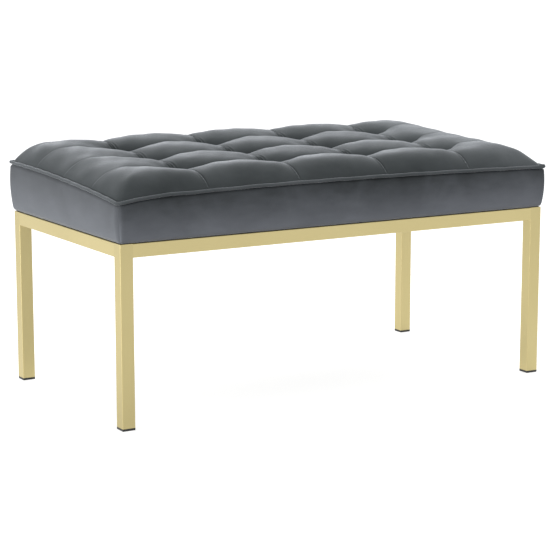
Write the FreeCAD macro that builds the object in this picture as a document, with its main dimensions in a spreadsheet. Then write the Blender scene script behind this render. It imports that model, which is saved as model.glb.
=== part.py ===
import FreeCAD, Part
import math
import os

import Sketcher
from FreeCAD import Placement, Rotation, Vector

# An upholstered bench: a welded square-tube steel frame carries a plywood board with a
# crowned, button-tufted foam cushion. X runs along the bench, -Y is its front and Z is up.
# The origin is on the floor, under the middle of the seat. All sizes are in millimetres.

os.makedirs("parts", exist_ok=True)
doc = FreeCAD.newDocument("UpholsteredBench")
sheet = doc.addObject("Spreadsheet::Sheet", "Sizes")

# Driving dimensions: alias, value and what it measures.
SIZES = (
    ("frame_length", 918, "steel frame, outside, along X"),
    ("frame_depth", 474, "steel frame, outside, along Y"),
    ("frame_height", 334, "floor to the top of the steel"),
    ("tube_size", 25, "square tube, outside"),
    ("tube_wall", 1.5, "square tube, wall"),
    ("tube_corner", 1.2, "square tube, outside corner radius"),
    ("glide_height", 4.5, "foot glide, the part below the tube"),
    ("glide_inset", 0.25, "foot glide, step in from the tube's faces"),
    ("glide_plug", 16, "foot glide, the part up inside the tube"),
    ("glide_slack", 0.1, "foot glide, gap to the tube's inside faces"),
    ("glide_wall", 2, "foot glide, wall of its hollow plug"),
    ("glide_edge", 0.8, "foot glide, rounding of the edge on the floor"),
    ("plate_size", 55, "corner plate, along each rail"),
    ("plate_nose", 8, "corner plate, width of its clipped tips"),
    ("plate_thickness", 3, "corner plates and middle tabs"),
    ("plate_hole", 18, "corner plate, hole centre from each rail"),
    ("tab_width", 36, "middle tab, along its rail"),
    ("tab_depth", 30, "middle tab, out from its rail"),
    ("tab_hole", 15, "middle tab, hole centre from its rail"),
    ("bolt_radius", 3, "seat bolt, shank"),
    ("bolt_length", 20.6, "seat bolt, under its head"),
    ("bolt_hole", 3.3, "clearance hole radius for a seat bolt"),
    ("head_radius", 5.77, "seat bolt, hexagon head across its corners"),
    ("head_height", 4, "seat bolt, head"),
    ("washer_radius", 8, "seat washer, outside"),
    ("washer_height", 1.6, "seat washer, thickness"),
    ("nut_flange", 9, "tee nut, flange radius"),
    ("nut_flange_height", 1.5, "tee nut, flange thickness"),
    ("nut_barrel", 4, "tee nut, barrel radius"),
    ("nut_barrel_height", 9.5, "tee nut, barrel length"),
    ("nut_bore", 3.05, "tee nut, bore radius"),
    ("dust_height", 0.6, "dust cover, thickness"),
    ("dust_inset", 12, "dust cover, edge in from the frame's outline"),
    ("fold_height", 1.5, "velvet folded under the board, thickness"),
    ("fold_width", 30, "velvet folded under the board, width"),
    ("board_height", 18, "plywood board, thickness"),
    ("board_inset", 8, "plywood board, edge in from the frame's outline"),
    ("foam_inset", 2, "foam block, edge in from the frame's outline"),
    ("band_round", 10.5, "side band, radius of its lower edge"),
    ("band_foot", 4.5, "side band, where its lower edge would end if it were square, past the frame"),
    ("band_lean", 80, "side band, angle that its lower edge turns through, degrees"),
    ("band_swell", 1.2, "side band, swell of its inner face at the lower edge"),
    ("band_over", 20, "side band, height past the welt's corners before it is cut to the welt"),
    ("band_bulge", 8, "side band, furthest out past the frame"),
    ("band_top", 7, "side band, out past the frame at its top"),
    ("band_thickness", 3, "side band, velvet on its backing"),
    ("band_corner", 6, "side band, rounding of the upright corners"),
    ("wadding_low", 12, "side wadding, lower edge above the steel"),
    ("wadding_high", 70, "side wadding, upper edge above the steel"),
    ("wadding_height", 2.7, "side wadding, thickness"),
    ("welt_radius", 3.75, "welt cord, radius"),
    ("welt_out", 6.25, "welt cord, centre line out past the frame"),
    ("welt_corner", 78, "welt cord, height of its corner points above the steel"),
    ("welt_turn", 12, "welt cord, length of a side that a corner bend takes"),
    ("welt_long_slope", 2.2, "welt cord, slope at the ends of the long sides, degrees"),
    ("welt_short_slope", 3.4, "welt cord, slope at the ends of the short sides, degrees"),
    ("cover_thickness", 3, "top cover, velvet on its wadding"),
    ("cover_out", 2.2, "top cover, edge out past the frame"),
    ("cover_lift", 1.5, "top cover, edge above the welt's centre line"),
    ("crown_height", 137, "highest biscuits, in the back row, above the steel"),
    ("front_row_drop", 13.5, "front row of biscuits below the highest"),
    ("second_row_drop", 9, "second row of biscuits below the highest"),
    ("third_row_drop", 4, "third row of biscuits below the highest"),
    ("end_column_drop", 4, "end biscuits below the others of their row"),
    ("row_seam_depth", 8, "seams along X below the biscuits"),
    ("column_seam_depth", 8, "seams along Y below the biscuits"),
    ("tuft_depth", 41, "tufts below the highest biscuits"),
    ("tuft_pitch_long", 189, "tufts, spacing along X"),
    ("tuft_pitch_short", 122, "tufts, spacing along Y"),
    ("button_radius", 7.2, "covered button, radius"),
    ("button_height", 5.5, "covered button, whole height"),
    ("button_dome", 3.5, "covered button, height of its dome"),
    ("button_pocket", 7.5, "flat seat of a button in the cover, radius"),
    ("twine_radius", 0.75, "tufting twine, radius"),
    ("twine_hole", 1.2, "hole for the twine, radius"),
    ("anchor_radius", 9, "twine washer under the board, radius"),
    ("anchor_height", 1.2, "twine washer under the board, thickness"),
    ("anchor_eye", 0.8, "twine washer under the board, radius of its eye"),
    ("soft_gap", 0.3, "gap between soft pieces with curved faces"),
    ("staple_width", 11, "staple, crown length"),
    ("staple_wire", 0.8, "staple, wire width"),
    ("staple_crown", 0.6, "staple, crown thickness"),
    ("staple_leg", 10, "staple, leg length above the crown"),
    ("staple_inset", 30.5, "staple line in from the frame's outline"),
    ("staple_pitch_long", 60, "staples, spacing on the long sides"),
    ("staple_pitch_short", 45, "staples, spacing on the short sides"),
)
for row, (alias, value, meaning) in enumerate(SIZES, start=1):
    sheet.set(f"A{row}", meaning)
    sheet.set(f"B{row}", str(value))
    sheet.setAlias(f"B{row}", alias)
doc.recompute()

nodes = []


def size(alias):
    """The value of one driving dimension."""
    return float(getattr(sheet, alias))


def bind(item, **expressions):
    """Bind properties to sheet expressions; place_x stands for Placement.Base.x, and so on."""
    for name, expression in expressions.items():
        path = name.replace("place_", "Placement.Base.") if name.startswith("place_") else name
        item.setExpression(path, expression)
    return item


def node(item, name):
    """Give a finished sub-part its name and put it on the list of what is written."""
    item.Label = name
    nodes.append(item)
    return item


def shaped(name, shape):
    """A sub-part whose shape is worked out by the functions below from the sheet's values."""
    item = doc.addObject("Part::Feature", name)
    item.Shape = shape
    return node(item, name)


# Sketches and tubes

def sketch_on_floor(body, name, lift=None):
    """A sketch on the body's own XY plane, raised by an expression if one is given."""
    sketch = body.newObject("Sketcher::SketchObject", name)
    plane = next(item for item in body.Origin.OriginFeatures if item.Role == "XY_Plane")
    sketch.AttachmentSupport = [(plane, "")]
    sketch.MapMode = "FlatFace"
    if lift:
        sketch.setExpression("AttachmentOffset.Base.z", lift)
    return sketch


def add_rectangle(sketch, tag, width, depth):
    """A rectangle centred on the sketch's origin, with its two sizes bound to expressions."""
    first = sketch.GeometryCount
    start = Vector(-10, -10, 0)
    corners = [start, Vector(10, -10, 0), Vector(10, 10, 0), Vector(-10, 10, 0)]
    for i in range(4):
        sketch.addGeometry(Part.LineSegment(corners[i], corners[(i + 1) % 4]), False)
    for i in range(4):
        following = first + (i + 1) % 4
        sketch.addConstraint(Sketcher.Constraint("Coincident", first + i, 2, following, 1))
        direction = "Horizontal" if i % 2 == 0 else "Vertical"
        sketch.addConstraint(Sketcher.Constraint(direction, first + i))
    sketch.addConstraint(Sketcher.Constraint("Symmetric", first, 1, first + 2, 1, -1, 1))
    for kind, line, size_name, expression in (
        ("DistanceX", first, f"{tag}_width", width),
        ("DistanceY", first + 1, f"{tag}_depth", depth),
    ):
        index = sketch.addConstraint(Sketcher.Constraint(kind, line, 1, line, 2, 20))
        sketch.renameConstraint(index, size_name)
        sketch.setExpression(f"Constraints.{size_name}", expression)


def add_pad(body, sketch, length):
    pad = body.newObject("PartDesign::Pad", f"{sketch.Name}_pad")
    pad.Profile = sketch
    pad.setExpression("Length", length)
    doc.recompute()
    return pad


def add_fillet(body, feature, radius, wanted):
    """Round the edges of a feature for which wanted(middle, box) is true."""
    names = []
    for index, edge in enumerate(feature.Shape.Edges, start=1):
        if wanted(edge.BoundBox.Center, edge.BoundBox):
            names.append(f"Edge{index}")
    fillet = body.newObject("PartDesign::Fillet", f"{feature.Name}_round")
    fillet.Base = (feature, names)
    fillet.setExpression("Radius", radius)
    doc.recompute()
    return fillet


def tube_section(body, name, lift=None):
    sketch = sketch_on_floor(body, name, lift)
    add_rectangle(sketch, "outer", "Sizes.tube_size", "Sizes.tube_size")
    inner = "Sizes.tube_size - 2 * Sizes.tube_wall"
    add_rectangle(sketch, "inner", inner, inner)
    return sketch


def is_outer_edge(middle, box):
    """True for an upright edge at the outside corners of the tube."""
    half = size("tube_size") / 2
    upright = box.XLength < 0.001 and box.YLength < 0.001
    return upright and abs(abs(middle.x) - half) < 0.001 and abs(abs(middle.y) - half) < 0.001


# Steel frame: four upright tubes with four tubes butt-welded between their heads

def make_tube(name, length, rounded):
    """A square tube that stands on its own origin; rounded picks its rounded long edges."""
    body = doc.addObject("PartDesign::Body", name)
    tube = add_pad(body, tube_section(body, f"{name}_section"), length)
    add_fillet(body, tube, "Sizes.tube_corner", rounded)
    return body


def make_leg(name, side_x, side_y, turn):
    """An upright tube; its head, between the rails, keeps sharp edges where welds are ground."""
    shaft_length = "(Sizes.frame_height - Sizes.glide_height - Sizes.tube_size)"
    shaft = make_tube(f"{name}_shaft", shaft_length, is_outer_edge)
    head = make_tube(
        f"{name}_head", "Sizes.tube_size",
        lambda middle, box: is_outer_edge(middle, box) and middle.x < 0 and middle.y < 0,
    )
    bind(head, place_z=shaft_length)
    leg = doc.addObject("Part::Fuse", name)
    leg.Base = shaft
    leg.Tool = head
    leg.Placement = Placement(Vector(), Rotation(Vector(0, 0, 1), turn))
    bind(
        leg,
        place_x=f"{side_x} * (Sizes.frame_length - Sizes.tube_size) / 2",
        place_y=f"{side_y} * (Sizes.frame_depth - Sizes.tube_size) / 2",
        place_z="Sizes.glide_height",
    )
    return node(leg, name)


def make_rail(name, length, rotation, **place):
    """A level tube; rotation lays its length along X or Y."""
    body = make_tube(name, length, is_outer_edge)
    body.Placement = Placement(Vector(), rotation)
    bind(body, place_z="Sizes.frame_height - Sizes.tube_size / 2", **place)
    return node(body, name)


CORNERS = (
    ("front_left", -1, -1, 0),
    ("front_right", 1, -1, 90),
    ("back_right", 1, 1, 180),
    ("back_left", -1, 1, 270),
)
for corner, side_x, side_y, turn in CORNERS:
    make_leg(f"leg_{corner}", side_x, side_y, turn)

along_x = Rotation(Vector(0, 1, 0), 90)
along_y = Rotation(Vector(1, 0, 0), -90)
for place, sign in (("front", -1), ("back", 1)):
    make_rail(
        f"rail_{place}", "Sizes.frame_length - 2 * Sizes.tube_size", along_x,
        place_x="Sizes.tube_size - Sizes.frame_length / 2",
        place_y=f"{sign} * (Sizes.frame_depth - Sizes.tube_size) / 2",
    )
for place, sign in (("left", -1), ("right", 1)):
    make_rail(
        f"rail_{place}", "Sizes.frame_depth - 2 * Sizes.tube_size", along_y,
        place_x=f"{sign} * (Sizes.frame_length - Sizes.tube_size) / 2",
        place_y="Sizes.tube_size - Sizes.frame_depth / 2",
    )


# Foot glides: moulded caps pressed into the lower ends of the legs

def make_glide(name, side_x, side_y):
    body = doc.addObject("PartDesign::Body", name)
    cap_sketch = sketch_on_floor(body, f"{name}_cap")
    cap_width = "Sizes.tube_size - 2 * Sizes.glide_inset"
    add_rectangle(cap_sketch, "cap", cap_width, cap_width)
    cap = add_pad(body, cap_sketch, "Sizes.glide_height")
    add_fillet(body, cap, "Sizes.glide_edge", lambda middle, box: box.ZMax < 0.001)
    plug_sketch = sketch_on_floor(body, f"{name}_plug", "Sizes.glide_height")
    plug_width = "Sizes.tube_size - 2 * Sizes.tube_wall - 2 * Sizes.glide_slack"
    add_rectangle(plug_sketch, "plug", plug_width, plug_width)
    hollow = f"{plug_width} - 2 * Sizes.glide_wall"
    add_rectangle(plug_sketch, "hollow", hollow, hollow)
    add_pad(body, plug_sketch, "Sizes.glide_plug")
    bind(
        body,
        place_x=f"{side_x} * (Sizes.frame_length - Sizes.tube_size) / 2",
        place_y=f"{side_y} * (Sizes.frame_depth - Sizes.tube_size) / 2",
    )
    return node(body, name)


for corner, side_x, side_y, turn in CORNERS:
    make_glide(f"glide_{corner}", side_x, side_y)


# Plates that the seat is bolted to, welded inside the frame, flush with its top

def add_hole(plate, name, x, y):
    """A plate with a clearance hole for a seat bolt, in the plate's own frame."""
    drill = doc.addObject("Part::Cylinder", f"{name}_drill")
    bind(
        drill, Radius="Sizes.bolt_hole", Height="3 * Sizes.plate_thickness",
        place_x=x, place_y=y, place_z="-Sizes.plate_thickness",
    )
    drilled = doc.addObject("Part::Cut", name)
    drilled.Base = plate
    drilled.Tool = drill
    return node(drilled, name)


def make_corner_plate(name, side_x, side_y, turn):
    """A triangular plate with clipped tips, drawn from the inner corner of two rails."""
    body = doc.addObject("PartDesign::Body", f"{name}_blank")
    sketch = sketch_on_floor(body, f"{name}_outline")
    # These corners only give the outline's order; the constraints below give its sizes.
    rough_corners = [(0, 0), (50, 0), (50, 10), (10, 50), (0, 50)]
    following = rough_corners[1:] + rough_corners[:1]
    for (x, y), (next_x, next_y) in zip(rough_corners, following):
        sketch.addGeometry(Part.LineSegment(Vector(x, y, 0), Vector(next_x, next_y, 0)), False)
    for i in range(len(rough_corners)):
        next_line = (i + 1) % len(rough_corners)
        sketch.addConstraint(Sketcher.Constraint("Coincident", i, 2, next_line, 1))
    sketch.addConstraint(Sketcher.Constraint("Coincident", 0, 1, -1, 1))
    for direction, line in (("Horizontal", 0), ("Vertical", 1), ("Horizontal", 3), ("Vertical", 4)):
        sketch.addConstraint(Sketcher.Constraint(direction, line))
    for kind, line, start, end, size_name, expression in (
        ("DistanceX", 0, 1, 2, "along_x", "Sizes.plate_size"),
        ("DistanceY", 1, 1, 2, "nose_y", "Sizes.plate_nose"),
        ("DistanceX", 3, 2, 1, "nose_x", "Sizes.plate_nose"),
        ("DistanceY", 4, 2, 1, "along_y", "Sizes.plate_size"),
    ):
        index = sketch.addConstraint(Sketcher.Constraint(kind, line, start, line, end, 10))
        sketch.renameConstraint(index, size_name)
        sketch.setExpression(f"Constraints.{size_name}", expression)
    add_pad(body, sketch, "Sizes.plate_thickness")
    plate = add_hole(body, name, "Sizes.plate_hole", "Sizes.plate_hole")
    plate.Placement = Placement(Vector(), Rotation(Vector(0, 0, 1), turn))
    bind(
        plate,
        place_x=f"{side_x} * (Sizes.frame_length / 2 - Sizes.tube_size)",
        place_y=f"{side_y} * (Sizes.frame_depth / 2 - Sizes.tube_size)",
        place_z="Sizes.frame_height - Sizes.plate_thickness",
    )


def make_middle_tab(name, side_y, turn):
    blank = doc.addObject("Part::Box", f"{name}_blank")
    bind(
        blank, Length="Sizes.tab_width", Width="Sizes.tab_depth", Height="Sizes.plate_thickness",
        place_x="-Sizes.tab_width / 2",
    )
    tab = add_hole(blank, name, "0 mm", "Sizes.tab_hole")
    tab.Placement = Placement(Vector(), Rotation(Vector(0, 0, 1), turn))
    bind(
        tab,
        place_y=f"{side_y} * (Sizes.frame_depth / 2 - Sizes.tube_size)",
        place_z="Sizes.frame_height - Sizes.plate_thickness",
    )


for corner, side_x, side_y, turn in CORNERS:
    make_corner_plate(f"corner_plate_{corner}", side_x, side_y, turn)
make_middle_tab("middle_tab_front", -1, 0)
make_middle_tab("middle_tab_back", 1, 180)

# Seat bolts, washers and tee nuts: one at each plate and tab

corner_x = "(Sizes.frame_length / 2 - Sizes.tube_size - Sizes.plate_hole)"
corner_y = "(Sizes.frame_depth / 2 - Sizes.tube_size - Sizes.plate_hole)"
middle_y = "(Sizes.frame_depth / 2 - Sizes.tube_size - Sizes.tab_hole)"
BOLT_PLACES = [(f"{side_x} * {corner_x}", f"{side_y} * {corner_y}") for _, side_x, side_y, _ in CORNERS]
BOLT_PLACES += [("0 mm", f"{side_y} * {middle_y}") for side_y in (-1, 1)]
plate_underside = "Sizes.frame_height - Sizes.plate_thickness"
board_underside = "Sizes.frame_height + Sizes.dust_height + Sizes.fold_height"
board_top = f"{board_underside} + Sizes.board_height"


def group(name, items):
    """One node that holds several separate solids of the same kind."""
    compound = doc.addObject("Part::Compound", name)
    compound.Links = items
    return node(compound, name)


def disc(name, radius, height, x, y, z):
    """An upright cylinder whose sizes and place are expressions."""
    cylinder = doc.addObject("Part::Cylinder", name)
    return bind(cylinder, Radius=radius, Height=height, place_x=x, place_y=y, place_z=z)


def joined(kind, name, base, tool):
    """A Part boolean of two objects: Part::Cut, Part::Fuse or Part::Common."""
    result = doc.addObject(kind, name)
    result.Base = base
    result.Tool = tool
    return result


def seat_bolt(index, x, y):
    under_washer = f"{plate_underside} - Sizes.washer_height"
    shank = disc(f"shank_{index}", "Sizes.bolt_radius", "Sizes.bolt_length", x, y, under_washer)
    head = doc.addObject("Part::Prism", f"head_{index}")
    head.Polygon = 6
    bind(
        head, Circumradius="Sizes.head_radius", Height="Sizes.head_height",
        place_x=x, place_y=y, place_z=f"{under_washer} - Sizes.head_height",
    )
    return joined("Part::Fuse", f"bolt_{index}", shank, head)


def seat_washer(index, x, y):
    bottom = f"{plate_underside} - Sizes.washer_height"
    rim = disc(f"washer_rim_{index}", "Sizes.washer_radius", "Sizes.washer_height", x, y, bottom)
    eye = disc(f"washer_eye_{index}", "Sizes.bolt_hole", "Sizes.washer_height", x, y, bottom)
    return joined("Part::Cut", f"washer_{index}", rim, eye)


def tee_nut(index, x, y):
    flange_bottom = f"{board_top} - Sizes.nut_flange_height"
    flange = disc(f"flange_{index}", "Sizes.nut_flange", "Sizes.nut_flange_height", x, y, flange_bottom)
    barrel_bottom = f"{flange_bottom} - Sizes.nut_barrel_height"
    barrel = disc(f"barrel_{index}", "Sizes.nut_barrel", "Sizes.nut_barrel_height", x, y, barrel_bottom)
    whole = joined("Part::Fuse", f"nut_blank_{index}", flange, barrel)
    bore_length = "Sizes.nut_barrel_height + Sizes.nut_flange_height"
    bore = disc(f"nut_bore_{index}", "Sizes.nut_bore", bore_length, x, y, barrel_bottom)
    return joined("Part::Cut", f"nut_{index}", whole, bore)


group("seat_bolts", [seat_bolt(i, x, y) for i, (x, y) in enumerate(BOLT_PLACES)])
group("seat_washers", [seat_washer(i, x, y) for i, (x, y) in enumerate(BOLT_PLACES)])
group("tee_nuts", [tee_nut(i, x, y) for i, (x, y) in enumerate(BOLT_PLACES)])


# Staples: they hold the folded velvet and the dust cover up against the board

def staple(x, y, along_length):
    """A crown below the dust cover with two legs that go up into the board."""
    long_side, wire = size("staple_width"), size("staple_wire")
    crown, leg = size("staple_crown"), size("staple_leg")
    span_x, span_y = (long_side, wire) if along_length else (wire, long_side)
    top = size("frame_height")
    corner = Vector(x - span_x / 2, y - span_y / 2, top - crown)
    solid = Part.makeBox(span_x, span_y, crown, corner)
    far = Vector(span_x - wire, span_y - wire, 0)
    for shift in (Vector(), far):
        solid = solid.fuse(Part.makeBox(wire, wire, crown + leg, corner + shift))
    return solid.removeSplitter()


def staple_shapes():
    line_x = size("frame_length") / 2 - size("staple_inset")
    line_y = size("frame_depth") / 2 - size("staple_inset")
    shapes = []
    for side in (-1, 1):
        for half in (-1, 1):
            for i in range(6):
                x = half * (0.75 + i) * size("staple_pitch_long")
                shapes.append(staple(x, side * line_y, True))
        for i in range(-3, 4):
            shapes.append(staple(side * line_x, i * size("staple_pitch_short"), False))
    return shapes


staples = shaped("staples", Part.makeCompound(staple_shapes()))

# Plywood board and dust cover, with the holes that bolts, nuts, twine and staples need

TUFTS = [
    (f"tuft_button_{row + 1}_{column + 1}",
     f"{column - 1.5} * Sizes.tuft_pitch_long", f"{row - 1} * Sizes.tuft_pitch_short")
    for row in range(3) for column in range(4)
]


def sheet_of(name, inset, height, z, holes):
    """A flat rectangular piece, inset from the frame's outline, with holes cut through it."""
    blank = doc.addObject("Part::Box", f"{name}_blank")
    bind(
        blank, Length=f"Sizes.frame_length - 2 * {inset}", Width=f"Sizes.frame_depth - 2 * {inset}",
        Height=height, place_x=f"{inset} - Sizes.frame_length / 2",
        place_y=f"{inset} - Sizes.frame_depth / 2", place_z=z,
    )
    tools = doc.addObject("Part::Compound", f"{name}_holes")
    tools.Links = holes + [staples]
    return node(joined("Part::Cut", name, blank, tools), name)


board_holes = []
for i, (x, y) in enumerate(BOLT_PLACES):
    flange_bottom = f"{board_top} - Sizes.nut_flange_height"
    board_holes.append(disc(
        f"nut_seat_{i}", "Sizes.nut_flange + Sizes.soft_gap", "Sizes.board_height", x, y, flange_bottom,
    ))
    board_holes.append(disc(
        f"nut_hole_{i}", "Sizes.nut_barrel + Sizes.soft_gap", "Sizes.board_height", x, y, board_underside,
    ))
for i, (_, x, y) in enumerate(TUFTS):
    board_holes.append(disc(
        f"twine_hole_{i}", "Sizes.twine_hole", "Sizes.board_height", x, y, board_underside,
    ))
sheet_of("seat_board", "Sizes.board_inset", "Sizes.board_height", board_underside, board_holes)
dust_holes = [
    disc(f"dust_hole_{i}", "Sizes.bolt_hole", "Sizes.dust_height", x, y, "Sizes.frame_height")
    for i, (x, y) in enumerate(BOLT_PLACES)
]
sheet_of("dust_cover", "Sizes.dust_inset", "Sizes.dust_height", "Sizes.frame_height", dust_holes)

# Welt cord: four long shallow arcs joined by four corner bends, all tangent

half_length = size("frame_length") / 2
half_depth = size("frame_depth") / 2
steel_top = size("frame_height")


def welt_side(half_run, slope):
    """Radius of a side's arc, and the height of the arc's centre."""
    turn = size("welt_turn")
    radius = (half_run - turn * math.cos(slope)) / math.sin(slope)
    end_height = steel_top + size("welt_corner") + turn * math.sin(slope)
    return radius, end_height - radius * math.cos(slope)


long_slope = math.radians(size("welt_long_slope"))
short_slope = math.radians(size("welt_short_slope"))
welt_x = half_length + size("welt_out")
welt_y = half_depth + size("welt_out")
long_radius, long_centre = welt_side(welt_x, long_slope)
short_radius, short_centre = welt_side(welt_y, short_slope)


def welt_height_front(x):
    """Height of the cord's centre line on the front and back, at x."""
    return long_centre + math.sqrt(long_radius ** 2 - x ** 2)


def welt_height_end(y):
    """Height of the cord's centre line on the left and right, at y."""
    return short_centre + math.sqrt(short_radius ** 2 - y ** 2)


def swept_arc(start, tangent, centre, axis, angle):
    """A round cord along an arc: a disc square to the cord, revolved about the arc's axis."""
    face = Part.Face(Part.Wire(Part.makeCircle(size("welt_radius"), start, tangent)))
    return face.revolve(centre, axis, math.degrees(angle))


def welt_shape():
    turn = size("welt_turn")
    corner_height = steel_top + size("welt_corner")
    pieces = []
    for sign in (-1, 1):
        along = Vector(math.cos(long_slope), 0, math.sin(long_slope))
        start = Vector(-welt_x, sign * welt_y, corner_height) + along * turn
        centre = Vector(0, sign * welt_y, long_centre)
        pieces.append(swept_arc(start, along, centre, Vector(0, 1, 0), 2 * long_slope))
        along = Vector(0, math.cos(short_slope), math.sin(short_slope))
        start = Vector(sign * welt_x, -welt_y, corner_height) + along * turn
        centre = Vector(sign * welt_x, 0, short_centre)
        pieces.append(swept_arc(start, along, centre, Vector(-1, 0, 0), 2 * short_slope))
    for _, side_x, side_y, _ in CORNERS:
        point = Vector(side_x * welt_x, side_y * welt_y, corner_height)
        along_long = Vector(-side_x * math.cos(long_slope), 0, math.sin(long_slope))
        along_short = Vector(0, -side_y * math.cos(short_slope), math.sin(short_slope))
        axis = along_long.cross(along_short)
        axis.normalize()
        opening = along_long.getAngle(along_short)
        inward = along_long + along_short
        inward.normalize()
        centre = point + inward * (turn / math.cos(opening / 2))
        start = point + along_long * turn
        bend = math.pi - opening
        pieces.append(swept_arc(start, -along_long, centre, -axis, bend))
    return pieces[0].multiFuse(pieces[1:]).removeSplitter()


shaped("welt_cord", welt_shape())


# Side bands: velvet pulled over the edge, folded under the board and mitred at the corners

clear = 200  # how far a cutting block reaches past what it cuts
margin = 20  # the same, where only a little room is needed


def band_outline():
    """The band's cross-section as (out past the frame, above the steel) points of its edges."""
    low = size("dust_height")
    fold, thick = size("fold_height"), size("band_thickness")
    inner_end = -(size("fold_width") + size("band_round") - thick - fold)
    radius, swell = size("band_round"), size("band_swell")
    under = size("band_foot") - radius
    lean = math.radians(size("band_lean"))
    top = size("welt_corner") + size("band_over")
    rise = low + radius

    def around(reach, angle):
        return under + reach * math.sin(angle), rise - reach * math.cos(angle)

    outer_start = (under, low)
    outer_turn = around(radius, lean)
    outer_top = (size("band_top"), top)
    outer_bulge = (size("band_bulge"), (outer_turn[1] + top) / 2)
    inner_turn = (outer_turn[0] - thick, outer_turn[1])
    inner_top = (outer_top[0] - thick, top)
    inner_bulge = (outer_bulge[0] - thick, outer_bulge[1])
    inner_start = (under, low + fold)
    inner_round = (
        (inner_start[0] + inner_turn[0]) / 2 + swell, (inner_start[1] + inner_turn[1]) / 2 - swell)
    return (
        ("line", (inner_end, low), outer_start),
        ("arc", outer_start, around(radius, lean / 2), outer_turn),
        ("arc", outer_turn, outer_bulge, outer_top),
        ("line", outer_top, inner_top),
        ("arc", inner_top, inner_bulge, inner_turn),
        ("arc", inner_turn, inner_round, inner_start),
        ("line", inner_start, (inner_end, low + fold)),
        ("line", (inner_end, low + fold), (inner_end, low)),
    )


def section_face(place):
    """A face from the band's outline, with place(out, up) giving each point in space."""
    edges = []
    for kind, *points in band_outline():
        spots = [place(*point) for point in points]
        edges.append(Part.makeLine(*spots) if kind == "line" else Part.Arc(*spots).toShape())
    return Part.Face(Part.Wire(edges))


def above_arc(half_run, radius, centre, place, sweep):
    """Everything above the line where a band ends, just under the welt cord."""
    reach = half_run + margin
    limit = radius - size("welt_radius") - size("soft_gap")
    height = centre + math.sqrt(limit ** 2 - reach ** 2)
    high = steel_top + clear
    left, right = place(-reach, height), place(reach, height)
    top_right, top_left = place(reach, high), place(-reach, high)
    arc = Part.Arc(left, place(0, centre + limit), right).toShape()
    corners = (right, top_right, top_left, left)
    lines = [Part.makeLine(*pair) for pair in zip(corners, corners[1:])]
    return Part.Face(Part.Wire([arc] + lines)).extrude(sweep)


def mitre_block(points):
    """An upright prism over one quarter of the plan, cut at 45 degrees at the corners."""
    corners = [Vector(x, y, steel_top - margin) for x, y in points]
    return Part.Face(Part.makePolygon(corners + corners[:1])).extrude(Vector(0, 0, clear))


def rounded_block(half_x, half_y, radius, low, high):
    """An upright block with its four upright edges rounded."""
    block = Part.makeBox(2 * half_x, 2 * half_y, high - low, Vector(-half_x, -half_y, low))
    upright = [e for e in block.Edges if e.BoundBox.ZLength > (high - low) / 2]
    return block.makeFillet(radius, upright)


def band_shapes():
    overhang = size("band_bulge")
    reach_x, reach_y = half_length + overhang, half_depth + overhang
    body_block = rounded_block(reach_x, reach_y, size("band_corner"), steel_top - margin, steel_top + clear)
    shapes = {}
    for name, sign in (("front", -1), ("back", 1)):
        long_face = section_face(
            lambda out, up: Vector(-reach_x, sign * (half_depth + out), steel_top + up))
        bar = long_face.extrude(Vector(2 * reach_x, 0, 0))
        quarter = mitre_block((
            (-reach_x - clear, sign * (reach_y + clear)), (reach_x + clear, sign * (reach_y + clear)),
            (reach_x - reach_y, 0), (reach_y - reach_x, 0),
        ))
        sky = above_arc(
            welt_x, long_radius, long_centre,
            lambda x, z: Vector(x, -reach_y - clear, z), Vector(0, 2 * (reach_y + clear), 0))
        shapes[name] = bar.common(quarter).common(body_block).cut(sky)
    for name, sign in (("left", -1), ("right", 1)):
        short_face = section_face(
            lambda out, up: Vector(sign * (half_length + out), -reach_y, steel_top + up))
        bar = short_face.extrude(Vector(0, 2 * reach_y, 0))
        quarter = mitre_block((
            (sign * (reach_x + clear), -reach_y - clear), (sign * (reach_x + clear), reach_y + clear),
            (sign * (reach_x - reach_y), 0),
        ))
        sky = above_arc(
            welt_y, short_radius, short_centre,
            lambda y, z: Vector(-reach_x - clear, y, z), Vector(2 * (reach_x + clear), 0, 0))
        shapes[name] = bar.common(quarter).common(body_block).cut(sky)
    return shapes


for name, shape in band_shapes().items():
    shaped(f"side_band_{name}", shape.cut(staples.Shape).removeSplitter())

# Side wadding: a strip round the foam, behind the bands

wadding_boxes = []
for name, inset in (
    ("wadding_outside", "(Sizes.foam_inset - Sizes.soft_gap - Sizes.wadding_height)"),
    ("wadding_inside", "(Sizes.foam_inset - Sizes.soft_gap)"),
):
    block = doc.addObject("Part::Box", name)
    bind(
        block, Length=f"Sizes.frame_length - 2 * {inset}", Width=f"Sizes.frame_depth - 2 * {inset}",
        Height="Sizes.wadding_high - Sizes.wadding_low",
        place_x=f"{inset} - Sizes.frame_length / 2", place_y=f"{inset} - Sizes.frame_depth / 2",
        place_z="Sizes.frame_height + Sizes.wadding_low",
    )
    wadding_boxes.append(block)
node(joined("Part::Cut", "side_wadding", *wadding_boxes), "side_wadding")

# Cushion top: 5 x 4 sewn biscuits between 12 tufts. Each column is a loft along X whose
# cross-sections have one arc for each of the four rows.

edge_x = half_length + size("cover_out")
edge_y = half_depth + size("cover_out")
row_pitch = size("tuft_pitch_short")
SEAM_ROWS = (-edge_y, -row_pitch, 0, row_pitch, edge_y)
crown = steel_top + size("crown_height")
tuft_top = crown - size("tuft_depth")


def arc_height(x, first, middle, last):
    """Height at x of the circle through three (x, height) points."""
    arc = Part.Arc(*(Vector(px, 0, pz) for px, pz in (first, middle, last)))
    circle = arc.toShape().Curve
    return circle.Center.z + math.sqrt(circle.Radius ** 2 - (x - circle.Center.x) ** 2)


def row_crown(row):
    """Height of a row's biscuits: the rows rise from the front to the back."""
    drops = (size("front_row_drop"), size("second_row_drop"), size("third_row_drop"), 0)
    return crown - drops[row]


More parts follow.
